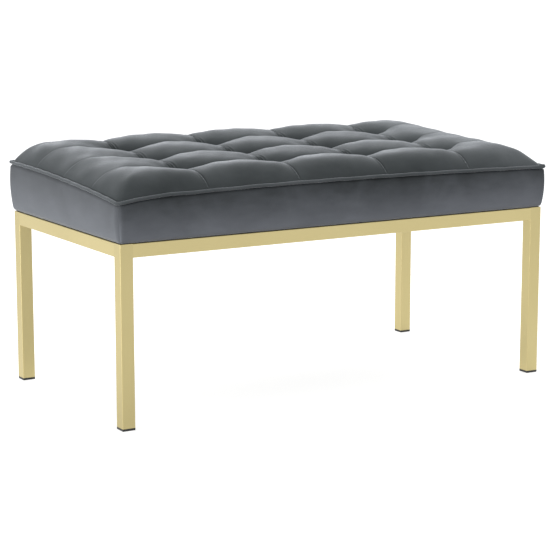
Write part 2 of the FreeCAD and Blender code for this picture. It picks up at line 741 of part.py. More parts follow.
def seam_heights():
    """Heights across the bench on a seam between columns: at the seam rows and mid-row."""
    on_seams = [tuft_top] * 3
    mid_rows = [row_crown(row) - size("column_seam_depth") for row in range(4)]
    return on_seams, mid_rows


def crest_heights(drop):
    """Heights across the bench along the middle of a column of biscuits."""
    mid_rows = [row_crown(row) for row in range(4)]
    on_seams = [(near + far) / 2 - size("row_seam_depth") for near, far in zip(mid_rows, mid_rows[1:])]
    return [height - drop for height in on_seams], [height - drop for height in mid_rows]


def cross_section(x, edge, on_seams, mid_rows, lower):
    """Top edges of one section, moved down by lower: four arcs from the front to the back."""
    heights = [edge] + list(on_seams) + [edge]
    edges = []
    for row in range(4):
        y_start, y_end = SEAM_ROWS[row], SEAM_ROWS[row + 1]
        start = Vector(x, y_start, heights[row] - lower)
        middle = Vector(x, (y_start + y_end) / 2, mid_rows[row] - lower)
        end = Vector(x, y_end, heights[row + 1] - lower)
        edges.append(Part.Arc(start, middle, end).toShape())
    return edges


def end_heights():
    """Heights at the cushion's end, where its cover meets the welt."""
    lift = size("cover_lift")
    on_seams = [welt_height_end(y) + lift for y in SEAM_ROWS[1:4]]
    mid_rows = [
        welt_height_end((SEAM_ROWS[row] + SEAM_ROWS[row + 1]) / 2) + lift for row in range(4)
    ]
    return on_seams, mid_rows


def column_sections(column):
    """The (x, heights) of each cross-section of one column, from its left to its right."""
    pitch = size("tuft_pitch_long")
    edge_lift = size("cover_lift")
    if column in (1, 2, 3):
        left = (column - 2.5) * pitch
        stations = [
            (left, *seam_heights()), (left + pitch / 2, *crest_heights(0)), (left + pitch, *seam_heights())]
        return [(x, welt_height_front(x) + edge_lift, seams, mids) for x, seams, mids in stations]
    seam_x = 1.5 * pitch
    middle_x = (edge_x + seam_x) / 2
    ends, crests, seams = end_heights(), crest_heights(size("end_column_drop")), seam_heights()
    stations = []
    for share in (0, 0.1, 0.25, 0.5, 0.75, 1):
        x = edge_x + share * (seam_x - edge_x)
        blended = []
        for part in (0, 1):
            blended.append([
                arc_height(x, (edge_x, e), (middle_x, c), (seam_x, s))
                for e, c, s in zip(ends[part], crests[part], seams[part])
            ])
        edge = welt_height_front(x) + edge_lift
        stations.append((x, edge, blended[0], blended[1]))
    if column == 4:
        return stations[::-1]
    return [(-x, edge, on_seams, mid_rows) for x, edge, on_seams, mid_rows in stations]


def column_solid(column, drop):
    """One column from the board up to its crowned top, with that top lowered by drop."""
    floor = steel_top + size("dust_height") + size("fold_height") + size("board_height")
    wires = []
    for x, edge, on_seams, mid_rows in column_sections(column):
        top = cross_section(x, edge, on_seams, mid_rows, drop)
        low_front, low_back = Vector(x, -edge_y, floor), Vector(x, edge_y, floor)
        front = Part.makeLine(low_front, top[0].Vertexes[0].Point)
        back = Part.makeLine(top[-1].Vertexes[1].Point, low_back)
        wires.append(Part.Wire([front] + top + [back, Part.makeLine(low_back, low_front)]))
    return Part.makeLoft(wires, True, False)


def cushion_solid(drop):
    columns = [column_solid(column, drop) for column in range(5)]
    return columns[0].multiFuse(columns[1:])


def tuft_points():
    pitch_x, pitch_y = size("tuft_pitch_long"), size("tuft_pitch_short")
    return [((column - 1.5) * pitch_x, (row - 1) * pitch_y) for row in range(3) for column in range(4)]


def upright_rods(radius, low, high):
    """One upright rod at every tuft."""
    return [Part.makeCylinder(radius, high - low, Vector(x, y, low)) for x, y in tuft_points()]


def cushion_core(drop, wall):
    """The cushion below a skin of thickness drop, cleared round the cup at each tuft."""
    cups = upright_rods(size("button_pocket") + wall, tuft_top - drop, crown + margin)
    return cushion_solid(drop).cut(cups)


def cover_shape():
    """Velvet skin over the biscuits, with a flat-bottomed cup under each button."""
    thick = size("cover_thickness")
    block = rounded_block(edge_x, edge_y, size("band_corner"), steel_top, crown + margin)
    skin = cushion_solid(0).cut(cushion_core(thick, thick / 2)).common(block)
    skin = skin.cut(upright_rods(size("button_pocket"), tuft_top, crown + margin))
    return skin.cut(upright_rods(size("twine_hole"), tuft_top - 2 * thick, tuft_top + thick))


def foam_shape():
    """Foam block under the skin, with a hole for each twine."""
    thick, gap, inset = size("cover_thickness"), size("soft_gap"), size("foam_inset")
    block = rounded_block(
        half_length - inset, half_depth - inset, size("band_corner"), steel_top, crown + margin)
    foam = cushion_core(thick + gap, thick / 2 + gap).common(block)
    return foam.cut(upright_rods(size("twine_hole"), steel_top, crown))


shaped("top_cover", cover_shape())
shaped("foam_core", foam_shape())

# Tufting: a covered button in each hollow, its twine, and a washer under the board

tuft_seat = "Sizes.frame_height + Sizes.crown_height - Sizes.tuft_depth"
for name, x, y in TUFTS:
    ball = doc.addObject("Part::Sphere", f"{name}_ball")
    dome_radius = "(Sizes.button_radius ^ 2 + Sizes.button_dome ^ 2) / (2 * Sizes.button_dome)"
    bind(
        ball, Radius=dome_radius, place_x=x, place_y=y,
        place_z=f"{tuft_seat} + Sizes.soft_gap + Sizes.button_height - {dome_radius}",
    )
    seat = f"{tuft_seat} + Sizes.soft_gap"
    rim = disc(f"{name}_rim", "Sizes.button_radius", "Sizes.button_height", x, y, seat)
    node(joined("Part::Common", name, ball, rim), name)

twine_end = f"{board_underside} - Sizes.anchor_height"
twine_length = f"{tuft_seat} + Sizes.soft_gap - ({twine_end})"
twines = [
    disc(f"twine_{i}", "Sizes.twine_radius", twine_length, x, y, twine_end)
    for i, (_, x, y) in enumerate(TUFTS)
]
group("tuft_twines", twines)
anchors = []
for i, (_, x, y) in enumerate(TUFTS):
    rim = disc(f"anchor_rim_{i}", "Sizes.anchor_radius", "Sizes.anchor_height", x, y, twine_end)
    eye = disc(f"anchor_eye_{i}", "Sizes.anchor_eye", "Sizes.anchor_height", x, y, twine_end)
    anchors.append(joined("Part::Cut", f"anchor_{i}", rim, eye))
group("tuft_anchors", anchors)

# Check everything, then write one file for each sub-part

doc.recompute()
for item in doc.Objects:
    if "Invalid" in item.State or "Error" in item.State:
        raise RuntimeError(f"{item.Label} failed: {item.State}")
for item in nodes:
    if item.Shape.isNull() or not item.Shape.isValid():
        raise RuntimeError(f"{item.Label} has no valid shape")
    if not item.Shape.Solids:
        raise RuntimeError(f"{item.Label} holds no solid")
for item in nodes:
    item.Shape.exportStep(f"parts/{item.Label}.step")
    box = item.Shape.BoundBox
    print(
        f"{item.Label}: {len(item.Shape.Solids)} solids, {item.Shape.Volume:.0f} mm3, "
        f"z {box.ZMin:.2f} to {box.ZMax:.2f}"
    )
print(f"{len(nodes)} sub-parts written")
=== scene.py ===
import math

import bpy
import numpy as np
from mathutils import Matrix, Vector


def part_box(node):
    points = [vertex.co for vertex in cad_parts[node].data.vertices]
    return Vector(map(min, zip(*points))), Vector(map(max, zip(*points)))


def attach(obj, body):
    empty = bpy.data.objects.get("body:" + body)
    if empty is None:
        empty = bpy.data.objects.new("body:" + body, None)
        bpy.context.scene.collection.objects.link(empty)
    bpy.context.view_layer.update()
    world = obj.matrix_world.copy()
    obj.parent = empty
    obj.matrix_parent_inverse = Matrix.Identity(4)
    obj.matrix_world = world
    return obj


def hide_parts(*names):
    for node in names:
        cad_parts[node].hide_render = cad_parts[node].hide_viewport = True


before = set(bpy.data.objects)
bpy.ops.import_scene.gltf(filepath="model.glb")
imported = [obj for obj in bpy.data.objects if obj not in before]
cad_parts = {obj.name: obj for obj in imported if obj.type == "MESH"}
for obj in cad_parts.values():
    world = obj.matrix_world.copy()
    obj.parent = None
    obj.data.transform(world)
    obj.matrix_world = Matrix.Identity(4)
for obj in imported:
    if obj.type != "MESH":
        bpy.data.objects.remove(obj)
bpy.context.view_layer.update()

# The view
# The photograph looks at the bench from in front of its left end, from a little above the seat,
# with a long lens that points slightly down.

camera_turn = math.radians(30.28)
camera_tilt = math.radians(10.31)
camera = bpy.data.objects.new("camera", bpy.data.cameras.new("camera"))
camera.location = (-1.8353, -3.1255, 0.8613)
camera.rotation_euler = (math.pi / 2 - camera_tilt, 0, -camera_turn)
camera.data.sensor_width = 36
camera.data.lens = 122.3
bpy.context.scene.collection.objects.link(camera)
bpy.context.scene.camera = camera

# Steel frame
# Four legs and four rails of 25 mm square steel tube, welded and ground flush on the outside.
# The tube is brushed along its length and has a satin, pale gold finish.


class Shade:
    """A socket in a finish's node tree; a sum written on it adds Math nodes to the tree."""

    def __init__(self, tree, socket=None):
        self.tree = tree
        self.socket = socket

    def add(self, kind, settings=None, sockets=None, give=0):
        """Add a node: its settings first, then its sockets' values or links. Gives one output."""
        made = self.tree.nodes.new("ShaderNode" + kind)
        for name, setting in (settings or {}).items():
            if name == "stops":
                for place, (position, tone) in enumerate(setting):
                    stops = made.color_ramp.elements
                    stop = stops[place] if place < 2 else stops.new(position)
                    stop.position = position
                    stop.color = (*tone, 1)
            else:
                setattr(made, name, setting)
        for name, value in (sockets or {}).items():
            if isinstance(value, Shade):
                self.tree.links.new(value.socket, made.inputs[name])
            else:
                made.inputs[name].default_value = value
        return Shade(self.tree, made.outputs[give] if made.outputs else None)

    def math(self, operation, *others):
        """This value and others, through one Math node."""
        return self.add("Math", {"operation": operation}, dict(enumerate((self, *others))))

    def __add__(self, other):
        return self.math("ADD", other)

    __radd__ = __add__

    def __mul__(self, other):
        return self.math("MULTIPLY", other)

    __rmul__ = __mul__

    def __sub__(self, other):
        return self.math("SUBTRACT", other)

    def __rsub__(self, other):
        return self * -1 + other

    def __truediv__(self, other):
        return self.math("DIVIDE", other)

    def blend(self, first, second):
        """The colour between two others that this mask picks, from 0 to 1."""
        return self.add("Mix", {"data_type": "RGBA"}, {0: self, 6: first, 7: second}, give=2)

    def noise(self, scale, detail=2.0, roughness=0.5, distortion=0.0):
        """Noise on this position, from 0 to 1."""
        settings = {"Vector": self, "Scale": scale, "Detail": detail}
        settings |= {"Roughness": roughness, "Distortion": distortion}
        return self.add("TexNoise", None, settings)

    def stretched(self, x, y, z):
        """This position, scaled along each axis."""
        return self.add("VectorMath", {"operation": "MULTIPLY"}, {0: self, 1: (x, y, z)})

    def ramp(self, *stops):
        """A grey that follows this value through (position, grey) stops."""
        tones = [(position, (grey,) * 3) for position, grey in stops]
        return self.add("ValToRGB", {"stops": tones}, {0: self})

    def bump(self, strength, distance, under=None):
        """A normal that is raised where this value is high."""
        sockets = {"Height": self, "Strength": strength, "Distance": distance}
        if under:
            sockets["Normal"] = under
        return self.add("Bump", None, sockets)

    def surface(self, sockets):
        """The finish's one surface shader."""
        shader = self.add("BsdfPrincipled", None, sockets)
        self.add("OutputMaterial", None, {"Surface": shader})


def new_finish(name):
    """An empty finish and the position on the object that its patterns are laid out by."""
    finish = bpy.data.materials.new(name)
    finish.use_nodes = True
    finish.node_tree.nodes.clear()
    return finish, Shade(finish.node_tree).add("TexCoord", give="Object")


def coat(piece, finish):
    """Give a piece one finish all over."""
    piece.data.materials.clear()
    piece.data.materials.append(finish)


gold = (0.590, 0.503, 0.256)
gold_shade = (0.545, 0.460, 0.225)


def brushed_gold(name, along, painted_shade_factor=1.0):
    """Brushed gold steel, marked along one axis of the tube; a factor below 1 is painted shade."""
    finish, place = new_finish(name)
    light, dark = ((*(part * painted_shade_factor for part in tone), 1) for tone in (gold, gold_shade))
    marks_along, marks_across = 14.0, 1900.0
    grain = [marks_along if axis == along else marks_across for axis in "xyz"]
    marks = place.stretched(*grain).noise(1.0, detail=3.0, roughness=0.6)
    cloud = place.noise(5.0, detail=3.0)
    tone = (cloud * 0.7 + marks * 0.3).ramp((0.3, 0.0), (0.7, 1.0))
    place.surface({
        "Base Color": tone.blend(dark, light),
        "Metallic": 1.0,
        "Roughness": 0.33 + marks * 0.12 + cloud * 0.05,
        "Normal": marks.bump(0.12, 0.0002),
    })
    return finish


# The uprights take a darker copy of the gold: painted shade on the legs
leg_painted_shade = 0.94
gold_upright = brushed_gold("gold_upright", "z", leg_painted_shade)
gold_long = brushed_gold("gold_long", "x")
gold_short = brushed_gold("gold_short", "y")
corners = ("front_left", "front_right", "back_right", "back_left")
for corner in corners:
    coat(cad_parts[f"leg_{corner}"], gold_upright)
for side in ("front", "back"):
    coat(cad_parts[f"rail_{side}"], gold_long)
for side in ("left", "right"):
    coat(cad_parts[f"rail_{side}"], gold_short)

# Corner plates and middle tabs
# Flat steel, welded inside the frame and flush with its top, with a hole for each seat bolt.
# They are plated with the frame.

gold_plate = brushed_gold("gold_plate", "x")
for corner in corners:
    coat(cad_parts[f"corner_plate_{corner}"], gold_plate)
for side in ("front", "back"):
    coat(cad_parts[f"middle_tab_{side}"], gold_plate)

# Foot glides
# Caps of moulded black plastic under the legs. Each has a plug that is pressed into the lower
# end of its tube.

finish, place = new_finish("black_plastic")
sparks = place.noise(2600.0, detail=2.0)
place.surface({
    "Base Color": place.noise(60.0).blend((0.012, 0.012, 0.012, 1), (0.022, 0.022, 0.021, 1)),
    "Roughness": 0.42 + sparks * 0.2,
    "Normal": sparks.bump(0.25, 0.0002),
})
for corner in corners:
    coat(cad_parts[f"glide_{corner}"], finish)

# Seat board
# Plywood, 18 mm thick, of seven plies, with holes for the tee nuts and the tufting twine. It
# lies on the frame and is bolted to the plates and tabs.

finish, place = new_finish("plywood")
board_low, board_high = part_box("seat_board")
plies = 7
ply = (board_high.z - board_low.z) / plies
height = place.add("SeparateXYZ", None, {0: place}, give="Z")
layer = ((height - board_low.z) / ply).math("PINGPONG", 1.0)
fibres = place.stretched(9.0, 420.0, 420.0).noise(1.0, detail=4.0, distortion=0.4)
wood = (fibres * 0.7 + layer * 0.5).ramp((0.25, 0.0), (0.95, 1.0))
place.surface({
    "Base Color": wood.blend((0.33, 0.20, 0.10, 1), (0.66, 0.49, 0.30, 1)),
    "Roughness": 0.62 + fibres * 0.2,
    "Normal": fibres.bump(0.3, 0.0004),
})
coat(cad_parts["seat_board"], finish)

# Seat bolts, washers, tee nuts, twine washers and staples
# Zinc-plated steel. The bolts go up through the plates and the board into the tee nuts, the
# twines are knotted to washers under the board, and the staples hold the cloth up against it.

finish, place = new_finish("zinc_steel")
mottle = place.noise(220.0, detail=3.0)
place.surface({
    "Base Color": mottle.blend((0.47, 0.48, 0.49, 1), (0.66, 0.66, 0.65, 1)),
    "Metallic": 1.0,
    "Roughness": 0.3 + mottle * 0.2,
    "Normal": mottle.bump(0.08, 0.0002),
})
for name in ("seat_bolts", "seat_washers", "tee_nuts", "tuft_anchors", "staples"):
    coat(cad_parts[name], finish)

# Top cover
# Velvet over a thin wadding, sewn from twenty squares and pulled down by a button where four
# squares meet, so that the foam under it swells into biscuits. Its edge is sewn to the welt.


def middle_of(node):
    """The middle of a node's box."""
    low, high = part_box(node)
    return (low + high) / 2


tuft_x = [middle_of(f"tuft_button_1_{column}").x for column in (1, 2, 3, 4)]
tuft_y = [middle_of(f"tuft_button_{row}_1").y for row in (1, 2, 3)]
tufts = [(x, y) for x in tuft_x for y in tuft_y]
tuft_gap_x, tuft_gap_y = tuft_x[1] - tuft_x[0], tuft_y[1] - tuft_y[0]
cover_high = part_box("top_cover")[1]
edge_x, edge_y, crown = cover_high.x, cover_high.y, cover_high.z
button_low, button_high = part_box("tuft_button_1_1")
under_button = 0.0003
tuft_top = button_low.z - under_button
leg_low, leg_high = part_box("leg_front_left")
half_length, half_depth, steel_top = -leg_low.x, -leg_low.y, leg_high.z
welt_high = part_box("welt_cord")[1]
welt_radius = 0.00375
welt_x, welt_y = welt_high.x - welt_radius, welt_high.y - welt_radius

# Heights of the welt's centre line above the steel, from the left to the right and from the
# front to the back. The cord is pulled down at the near left corner and rides up at the far one.
welt_front = (
    (-1, 0.0720), (-0.9, 0.0785), (-0.6, 0.0835), (0, 0.0860), (0.6, 0.0835), (1, 0.0800))
welt_back = ((-1, 0.0960), (-0.6, 0.0930), (0, 0.0900), (0.6, 0.0860), (1, 0.0820))
welt_left = (
    (-1, 0.0720), (-0.8, 0.0770), (-0.4, 0.0845), (0, 0.0900), (0.5, 0.0945), (1, 0.0960))
welt_right = ((-1, 0.0800), (-0.5, 0.0840), (0, 0.0860), (0.5, 0.0850), (1, 0.0820))


def smooth_line(stations, where):
    """A smooth curve through (place, height) stations, at an array of places."""
    places, heights = (np.array(column, float) for column in zip(*stations))
    slopes = np.gradient(heights, places)
    index = np.clip(np.searchsorted(places, where) - 1, 0, len(places) - 2)
    span = places[index + 1] - places[index]
    share = (where - places[index]) / span
    rise, fall = share ** 2 * (3 - 2 * share), share ** 2 * (share - 1)
    start = heights[index] * (1 - rise) + slopes[index] * span * (fall - share ** 2 + share)
    return start + heights[index + 1] * rise + slopes[index + 1] * span * fall


def welt_height(x, y):
    """Height of the cord's centre line beside a point (x, y) near the edge."""
    along_x, along_y = np.clip(x / welt_x, -1, 1), np.clip(y / welt_y, -1, 1)
    near_end = welt_x - np.abs(x) < welt_y - np.abs(y)
    front, back = smooth_line(welt_front, along_x), smooth_line(welt_back, along_x)
    left, right = smooth_line(welt_left, along_y), smooth_line(welt_right, along_y)
    ends, sides = np.where(x < 0, left, right), np.where(y < 0, front, back)
    return steel_top + np.where(near_end, ends, sides)


# How far the biscuits lie below the crown, from the front to the back of the bench
row_drop = (
    (-1, 0.0175), (-0.75, 0.0145), (-0.26, 0.0100), (0.26, 0.0040), (0.75, -0.0022), (1, 0.0010))
left_drop, right_drop = 0.008, 0.001
# Valleys between the biscuits, with a narrow dip at each seam. Past the outer tufts a share of
# the dips is lost, and the rows run out at these distances from the left end and the last tuft.
column_valley, row_valley = 0.006, 0.004
column_power, row_power = 2.6, 2
seam_dip_x, seam_dip_y, dip_width = 0.0022, 0.0065, 0.009
dip_loss_x, dip_loss_y = 0.6, 0.9
run_out_left, run_out_right = 0.04, 0.06
# How far in from each edge the cover still rises, and how steeply it starts there. The right end
# rises more gently, and so does the front beside it, by right_front.
roll_left, roll_front, roll_back, roll_power = 0.060, 0.056, 0.034, 2.4
roll_right, right_power, right_front = 0.120, 4.4, 0.030
# Round each tuft a broad sag leads to a deep pit, steeper in front of the tuft than behind it
sag_share, sag_reach = 0.30, 0.056
pit_side, pit_front, pit_back, pit_power = 0.037, 0.014, 0.021, 2.8
cover_lift = 0.0012


def nearest_gap(lines, places):
    """Distance from each place to the nearest of some lines."""
    return np.abs(places[..., None] - lines).min(-1)


def crest_height(x, y):
    """Height that the biscuits swell to over the bench, lower towards its ends."""
    end_drop = np.where(x < 0, left_drop, right_drop) * np.abs(x / edge_x) ** 3
    return crown - smooth_line(row_drop, y / edge_y) - end_drop


def rise_from(gap, width, power=roll_power):
    """How far the cover has risen at some distance in from its edge, from 0 to 1."""
    return 1 - (1 - np.clip(gap / width, 0, 1)) ** power


def ridged(rise, other):
    """Two rises together: the smaller of them, with a rounded ridge where they cross."""
    rounding = 0.7 * np.sqrt((1 - rise) * (1 - other))
    return 2 * rise * other / (rise + other + np.hypot(rise - other, rounding))


def fade(value, start, end):
    """From 0 at start to 1 at end, smoothly."""
    share = np.clip((value - start) / (end - start), 0, 1)
    return share ** 2 * (3 - 2 * share)


def past_outer_tufts(x):
    """From 0 at the outer tufts to 1 where the rows run out; sooner at the fuller right end."""
    run_out = np.where(x < 0, edge_x - run_out_left, tuft_x[-1] + run_out_right)
    return fade(np.abs(x), tuft_x[-1], run_out)


def biscuit_height(x, y):
    """Height of the tufted top, before seams and creases."""
    to_column, to_row = nearest_gap(tuft_x, x), nearest_gap(tuft_y, y)
    from_column = np.clip(2 * to_column / tuft_gap_x, 0, 1)
    from_row = np.clip(2 * to_row / tuft_gap_y, 0, 1)
    past_tufts = past_outer_tufts(x)
    swell = crest_height(x, y) - column_valley * (1 - from_column) ** column_power
    swell = swell - row_valley * (1 - past_tufts) * (1 - from_row) ** row_power
    for tx, ty in tufts:
        gap = np.hypot((x - tx) / pit_side, (y - ty) / np.where(y < ty, pit_front, pit_back))
        sag = np.exp(-((x - tx) ** 2 + (y - ty) ** 2) / sag_reach ** 2)
        pit = sag_share * sag + (1 - sag_share) * np.exp(-gap ** pit_power)
        foot = crest_height(np.array(tx), np.array(ty)) - column_valley - row_valley
        swell = swell - (foot - tuft_top) * pit
    swell = swell - seam_dip_x * np.exp(-to_column / dip_width) * (1 - dip_loss_x * past_tufts)
    swell = swell - seam_dip_y * np.exp(-to_row / dip_width) * (1 - dip_loss_y * past_tufts)
    swell = np.maximum(swell, tuft_top)
    edge = welt_height(x, y) + cover_lift
    left_end = rise_from(edge_x + x, roll_left)
    right_end = rise_from(edge_x - x, roll_right, right_power)
    from_ends = left_end * right_end
    front_width = roll_front + right_front * fade(x, tuft_x[-1], edge_x)
    from_sides = rise_from(edge_y - np.abs(y), np.where(y < 0, front_width, roll_back))
    return edge + (swell - edge) * ridged(from_ends, from_sides)


def spread(stops, fine, coarse, near):
    """Grid lines from the first stop to the last, closer together beside every stop."""
    lines = [stops[0]]
    for start, end in zip(stops, stops[1:]):
        run = np.linspace(start, end, 600)
        gap = np.minimum(run - start, end - run)
        step = fine + (coarse - fine) * np.clip(gap / near - 1, 0, 1)
        count = np.concatenate([[0], np.cumsum(np.diff(run) / step[1:])])
        lines.extend(np.interp(np.linspace(0, count[-1], round(count[-1]) + 1), count, run)[1:])
    return np.array(lines)


def new_piece(name, points, faces, finish):
    """A mesh piece of the bench, in metres, with a smooth surface."""
    mesh = bpy.data.meshes.new(name)
    mesh.from_pydata(np.asarray(points).tolist(), [], faces)
    mesh.validate()
    mesh.shade_smooth()
    piece = bpy.data.objects.new(name, mesh)
    bpy.context.scene.collection.objects.link(piece)
    coat(piece, finish)
    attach(piece, "root")
    return piece


def grid_faces(index, turned=False):
    """Four-cornered faces over a grid of point numbers."""
    corners = [index[:-1, :-1], index[1:, :-1], index[1:, 1:], index[:-1, 1:]]
    return np.stack(corners[::-1] if turned else corners, -1).reshape(-1, 4).tolist()


def shell(name, outer, to_inner, step, finish):
    """A closed skin: a fine outer grid, and an inner one from every step-th point, moved."""
    count_u, count_v = outer.shape[:2]
    picks_u = np.unique(np.append(np.arange(0, count_u, step), count_u - 1))
    picks_v = np.unique(np.append(np.arange(0, count_v, step), count_v - 1))
    inner = to_inner(outer[np.ix_(picks_u, picks_v)])
    points = np.concatenate([outer.reshape(-1, 3), inner.reshape(-1, 3)])
    out = np.arange(count_u * count_v).reshape(count_u, count_v)
    into = out.size + np.arange(len(picks_u) * len(picks_v)).reshape(len(picks_u), len(picks_v))
    faces = grid_faces(out) + grid_faces(into, turned=True)
    for out_edge, in_edge, picks, turn in (
        (out[:, 0], into[:, 0], picks_u, 1), (out[:, -1], into[:, -1], picks_u, -1),
        (out[0], into[0], picks_v, -1), (out[-1], into[-1], picks_v, 1),
    ):
        for a in range(len(picks) - 1):
            rim = [*out_edge[picks[a]:picks[a + 1] + 1][::-1], in_edge[a], in_edge[a + 1]]
            faces.append([int(i) for i in rim[::turn]])
    return new_piece(name, points, faces, finish)


# The heights of the painted light up a band, and the stretch along X over which painted light grows
band_height = 0.0843
painted_light_start, painted_light_run = 0.16, 0.26


def velvet(name, light, dark, sheen, uneven, foot_painted_light=0.0, right_painted_light=0.0):
    """Short-pile velvet, silvery at a glance, whose pile lies unevenly. It has painted shade at
    the top of an upright piece, and painted light at its foot and to the right of the bench."""
    finish, place = new_finish(name)
    pile = place.noise(1500.0, detail=2.0, roughness=0.6)
    nap = place.noise(9.0, detail=3.0, roughness=0.55, distortion=0.6)
    stroke = place.stretched(26.0, 26.0, 60.0).noise(1.0, detail=4.0)
    # Painted shade and light: darker at the top of an upright piece, lighter towards its foot
    foot = 1.0 - (place.add("SeparateXYZ", None, {0: place}, give="Z") - steel_top) / band_height
    # Painted light: lighter towards the right of the bench
    right = (place.add("SeparateXYZ", None, {0: place}, give="X") - painted_light_start) / painted_light_run
    tone = (nap * 0.5 + stroke * 0.25 + pile * 0.25).ramp((0.34, 0.0), (0.66, 1.0))
    tone = tone * uneven + foot * foot_painted_light + right.ramp((0.0, 0.0), (1.0, 1.0)) * right_painted_light
    place.surface({
        "Base Color": tone.blend(dark, light),
        "Roughness": 0.82 + pile * 0.15,
        "Specular IOR Level": 0.2,
        "Sheen Weight": sheen,
        "Sheen Roughness": 0.30,
        "Sheen Tint": (0.90, 0.93, 0.98, 1),
        "Normal": pile.bump(0.35, 0.0004),
    })
    return finish


# One velvet in copies with painted light: the ends lighter than the long bands, the welt than the
# top
top_velvet = velvet(
    "top_velvet", (0.112, 0.122, 0.128, 1), (0.034, 0.040, 0.041, 1), 0.86, 0.35, right_painted_light=0.42)
welt_velvet = velvet(
    "welt_velvet", (0.116, 0.125, 0.132, 1), (0.062, 0.070, 0.073, 1), 1.0, 0.8, right_painted_light=0.20)
side_velvet = velvet(
    "side_velvet", (0.178, 0.188, 0.209, 1), (0.010, 0.013, 0.012, 1), 0.85, 0.30,
    foot_painted_light=0.88, right_painted_light=0.08)
end_velvet_painted_light = velvet(
    "end_velvet_painted_light", (0.178, 0.188, 0.207, 1), (0.072, 0.077, 0.082, 1), 0.85, 0.30,
    foot_painted_light=0.88)

column_lines = [-edge_x, *tuft_x, edge_x]
row_lines = [-edge_y, *tuft_y, edge_y]
grid_x = spread(column_lines, 0.0012, 0.0038, 0.009)
grid_y = spread(row_lines, 0.0011, 0.0024, 0.009)
top_x, top_y = np.meshgrid(grid_x, grid_y, indexing="ij")
top_z = biscuit_height(top_x, top_y)


def near_tuft(x, y):
    """Distance to the nearest tuft, and the offset from it along X and along Y."""
    tx = np.array(tuft_x)[np.abs(x[..., None] - tuft_x).argmin(-1)]
    ty = np.array(tuft_y)[np.abs(y[..., None] - tuft_y).argmin(-1)]
    return np.hypot(x - tx, y - ty), x - tx, y - ty


def cloth_swell(step, slack, cap):
    """How far a sewn panel with some slack swells over the foam in a cloth simulation: the lines
    of a grid, and its heights above the biscuits. No point rises further than the cap."""
    lines_x = np.linspace(-edge_x, edge_x, round(2 * edge_x / step) + 1)
    lines_y = np.linspace(-edge_y, edge_y, round(2 * edge_y / step) + 1)
    x, y = np.meshgrid(lines_x, lines_y, indexing="ij")
    from_tuft, from_ends, from_sides = near_tuft(x, y)[0], edge_x - np.abs(x), edge_y - np.abs(y)
    reach = fade(from_tuft, 0.006, 0.04) * fade(from_ends, 0, 0.03) * fade(from_sides, 0, 0.03)
    start = np.stack([x, y, biscuit_height(x, y) - slack * reach], -1)
    faces = grid_faces(np.arange(x.size).reshape(x.shape))
    panel = new_piece("swelling_panel", start.reshape(-1, 3), faces, top_velvet)
    held = panel.vertex_groups.new(name="held")
    # Its border and the tufts are held fast, and its seams loosely
    border_hold, tuft_hold, seam_grip, frames = 0.004, 0.010, 0.35, 20
    on_seam = np.minimum(nearest_gap(tuft_x, x), nearest_gap(tuft_y, y)) < 0.6 * step
    fixed = (np.minimum(from_ends, from_sides) < border_hold) | (from_tuft < tuft_hold)
    grip = np.where(fixed, 1.0, np.where(on_seam, seam_grip, 0.0))
    for weight in (seam_grip, 1.0):
        held.add(np.flatnonzero(grip == weight).tolist(), weight, "REPLACE")
    cloth = panel.modifiers.new("Cloth", "CLOTH")
    cloth.settings.vertex_group_mass = "held"
    cloth.settings.use_pressure = True
    cloth.settings.uniform_pressure_force = 12
    cloth.settings.effector_weights.gravity = 0
    cloth.settings.quality = 6
    for number in range(1, frames + 1):
        bpy.context.scene.frame_set(number)
    moved = np.empty(start.size)
    evaluated = panel.evaluated_get(bpy.context.evaluated_depsgraph_get())
    evaluated.data.vertices.foreach_get("co", moved)
    bpy.context.scene.frame_set(1)
    bpy.data.objects.remove(panel)
    rise = moved.reshape(start.shape)[..., 2] - start[..., 2]
    return lines_x, lines_y, cap * np.tanh(rise / cap) - slack * reach


def nearness(gap):
    """Weight of a grid point that lies some steps away, on a smooth hump."""
    gap = np.abs(gap)
    return np.where(gap < 1, 2 / 3 - gap ** 2 + gap ** 3 / 2, np.maximum(2 - gap, 0) ** 3 / 6)


def sampled(lines_x, lines_y, grid, x, y):
    """Values between a grid's points, smoothly."""
    u = np.clip(np.interp(x, lines_x, np.arange(len(lines_x))), 1, len(lines_x) - 2.001)
    v = np.clip(np.interp(y, lines_y, np.arange(len(lines_y))), 1, len(lines_y) - 2.001)
    i, j = u.astype(int), v.astype(int)
    total = 0
    for di in (-1, 0, 1, 2):
        row = np.clip(i + di, 0, len(lines_x) - 1)
        for dj in (-1, 0, 1, 2):
            column = np.clip(j + dj, 0, len(lines_y) - 1)
            total = total + nearness(u - i - di) * nearness(v - j - dj) * grid[row, column]
    return total


swell_x, swell_y, swell = cloth_swell(0.0065, 0.0010, 0.006)
top_z = top_z + sampled(swell_x, swell_y, swell, top_x, top_y)


# Relief of the sewing: each seam's groove, its rolled lip and its puckers, which lose a share
# past the outer tufts, the pleats behind each tuft, the folds round it, and a slight ripple
groove_depth, groove_width = 0.0015, 0.0012
lip_height, lip_place, lip_width = 0.0009, 0.0034, 0.0020
pucker_height, pucker_place, pucker_width = 0.0004, 0.003, 0.004
column_pucker_pitch, row_pucker_pitch = 0.0062, 0.0071
pleat_height, pleat_pitch, pleat_width = 0.0015, 0.0062, 0.0105
fold_height, fold_reach, fold_width, folds_round = 0.0011, 0.016, 0.009, 7
ripple_height, seam_loss = 0.0006, 0.7


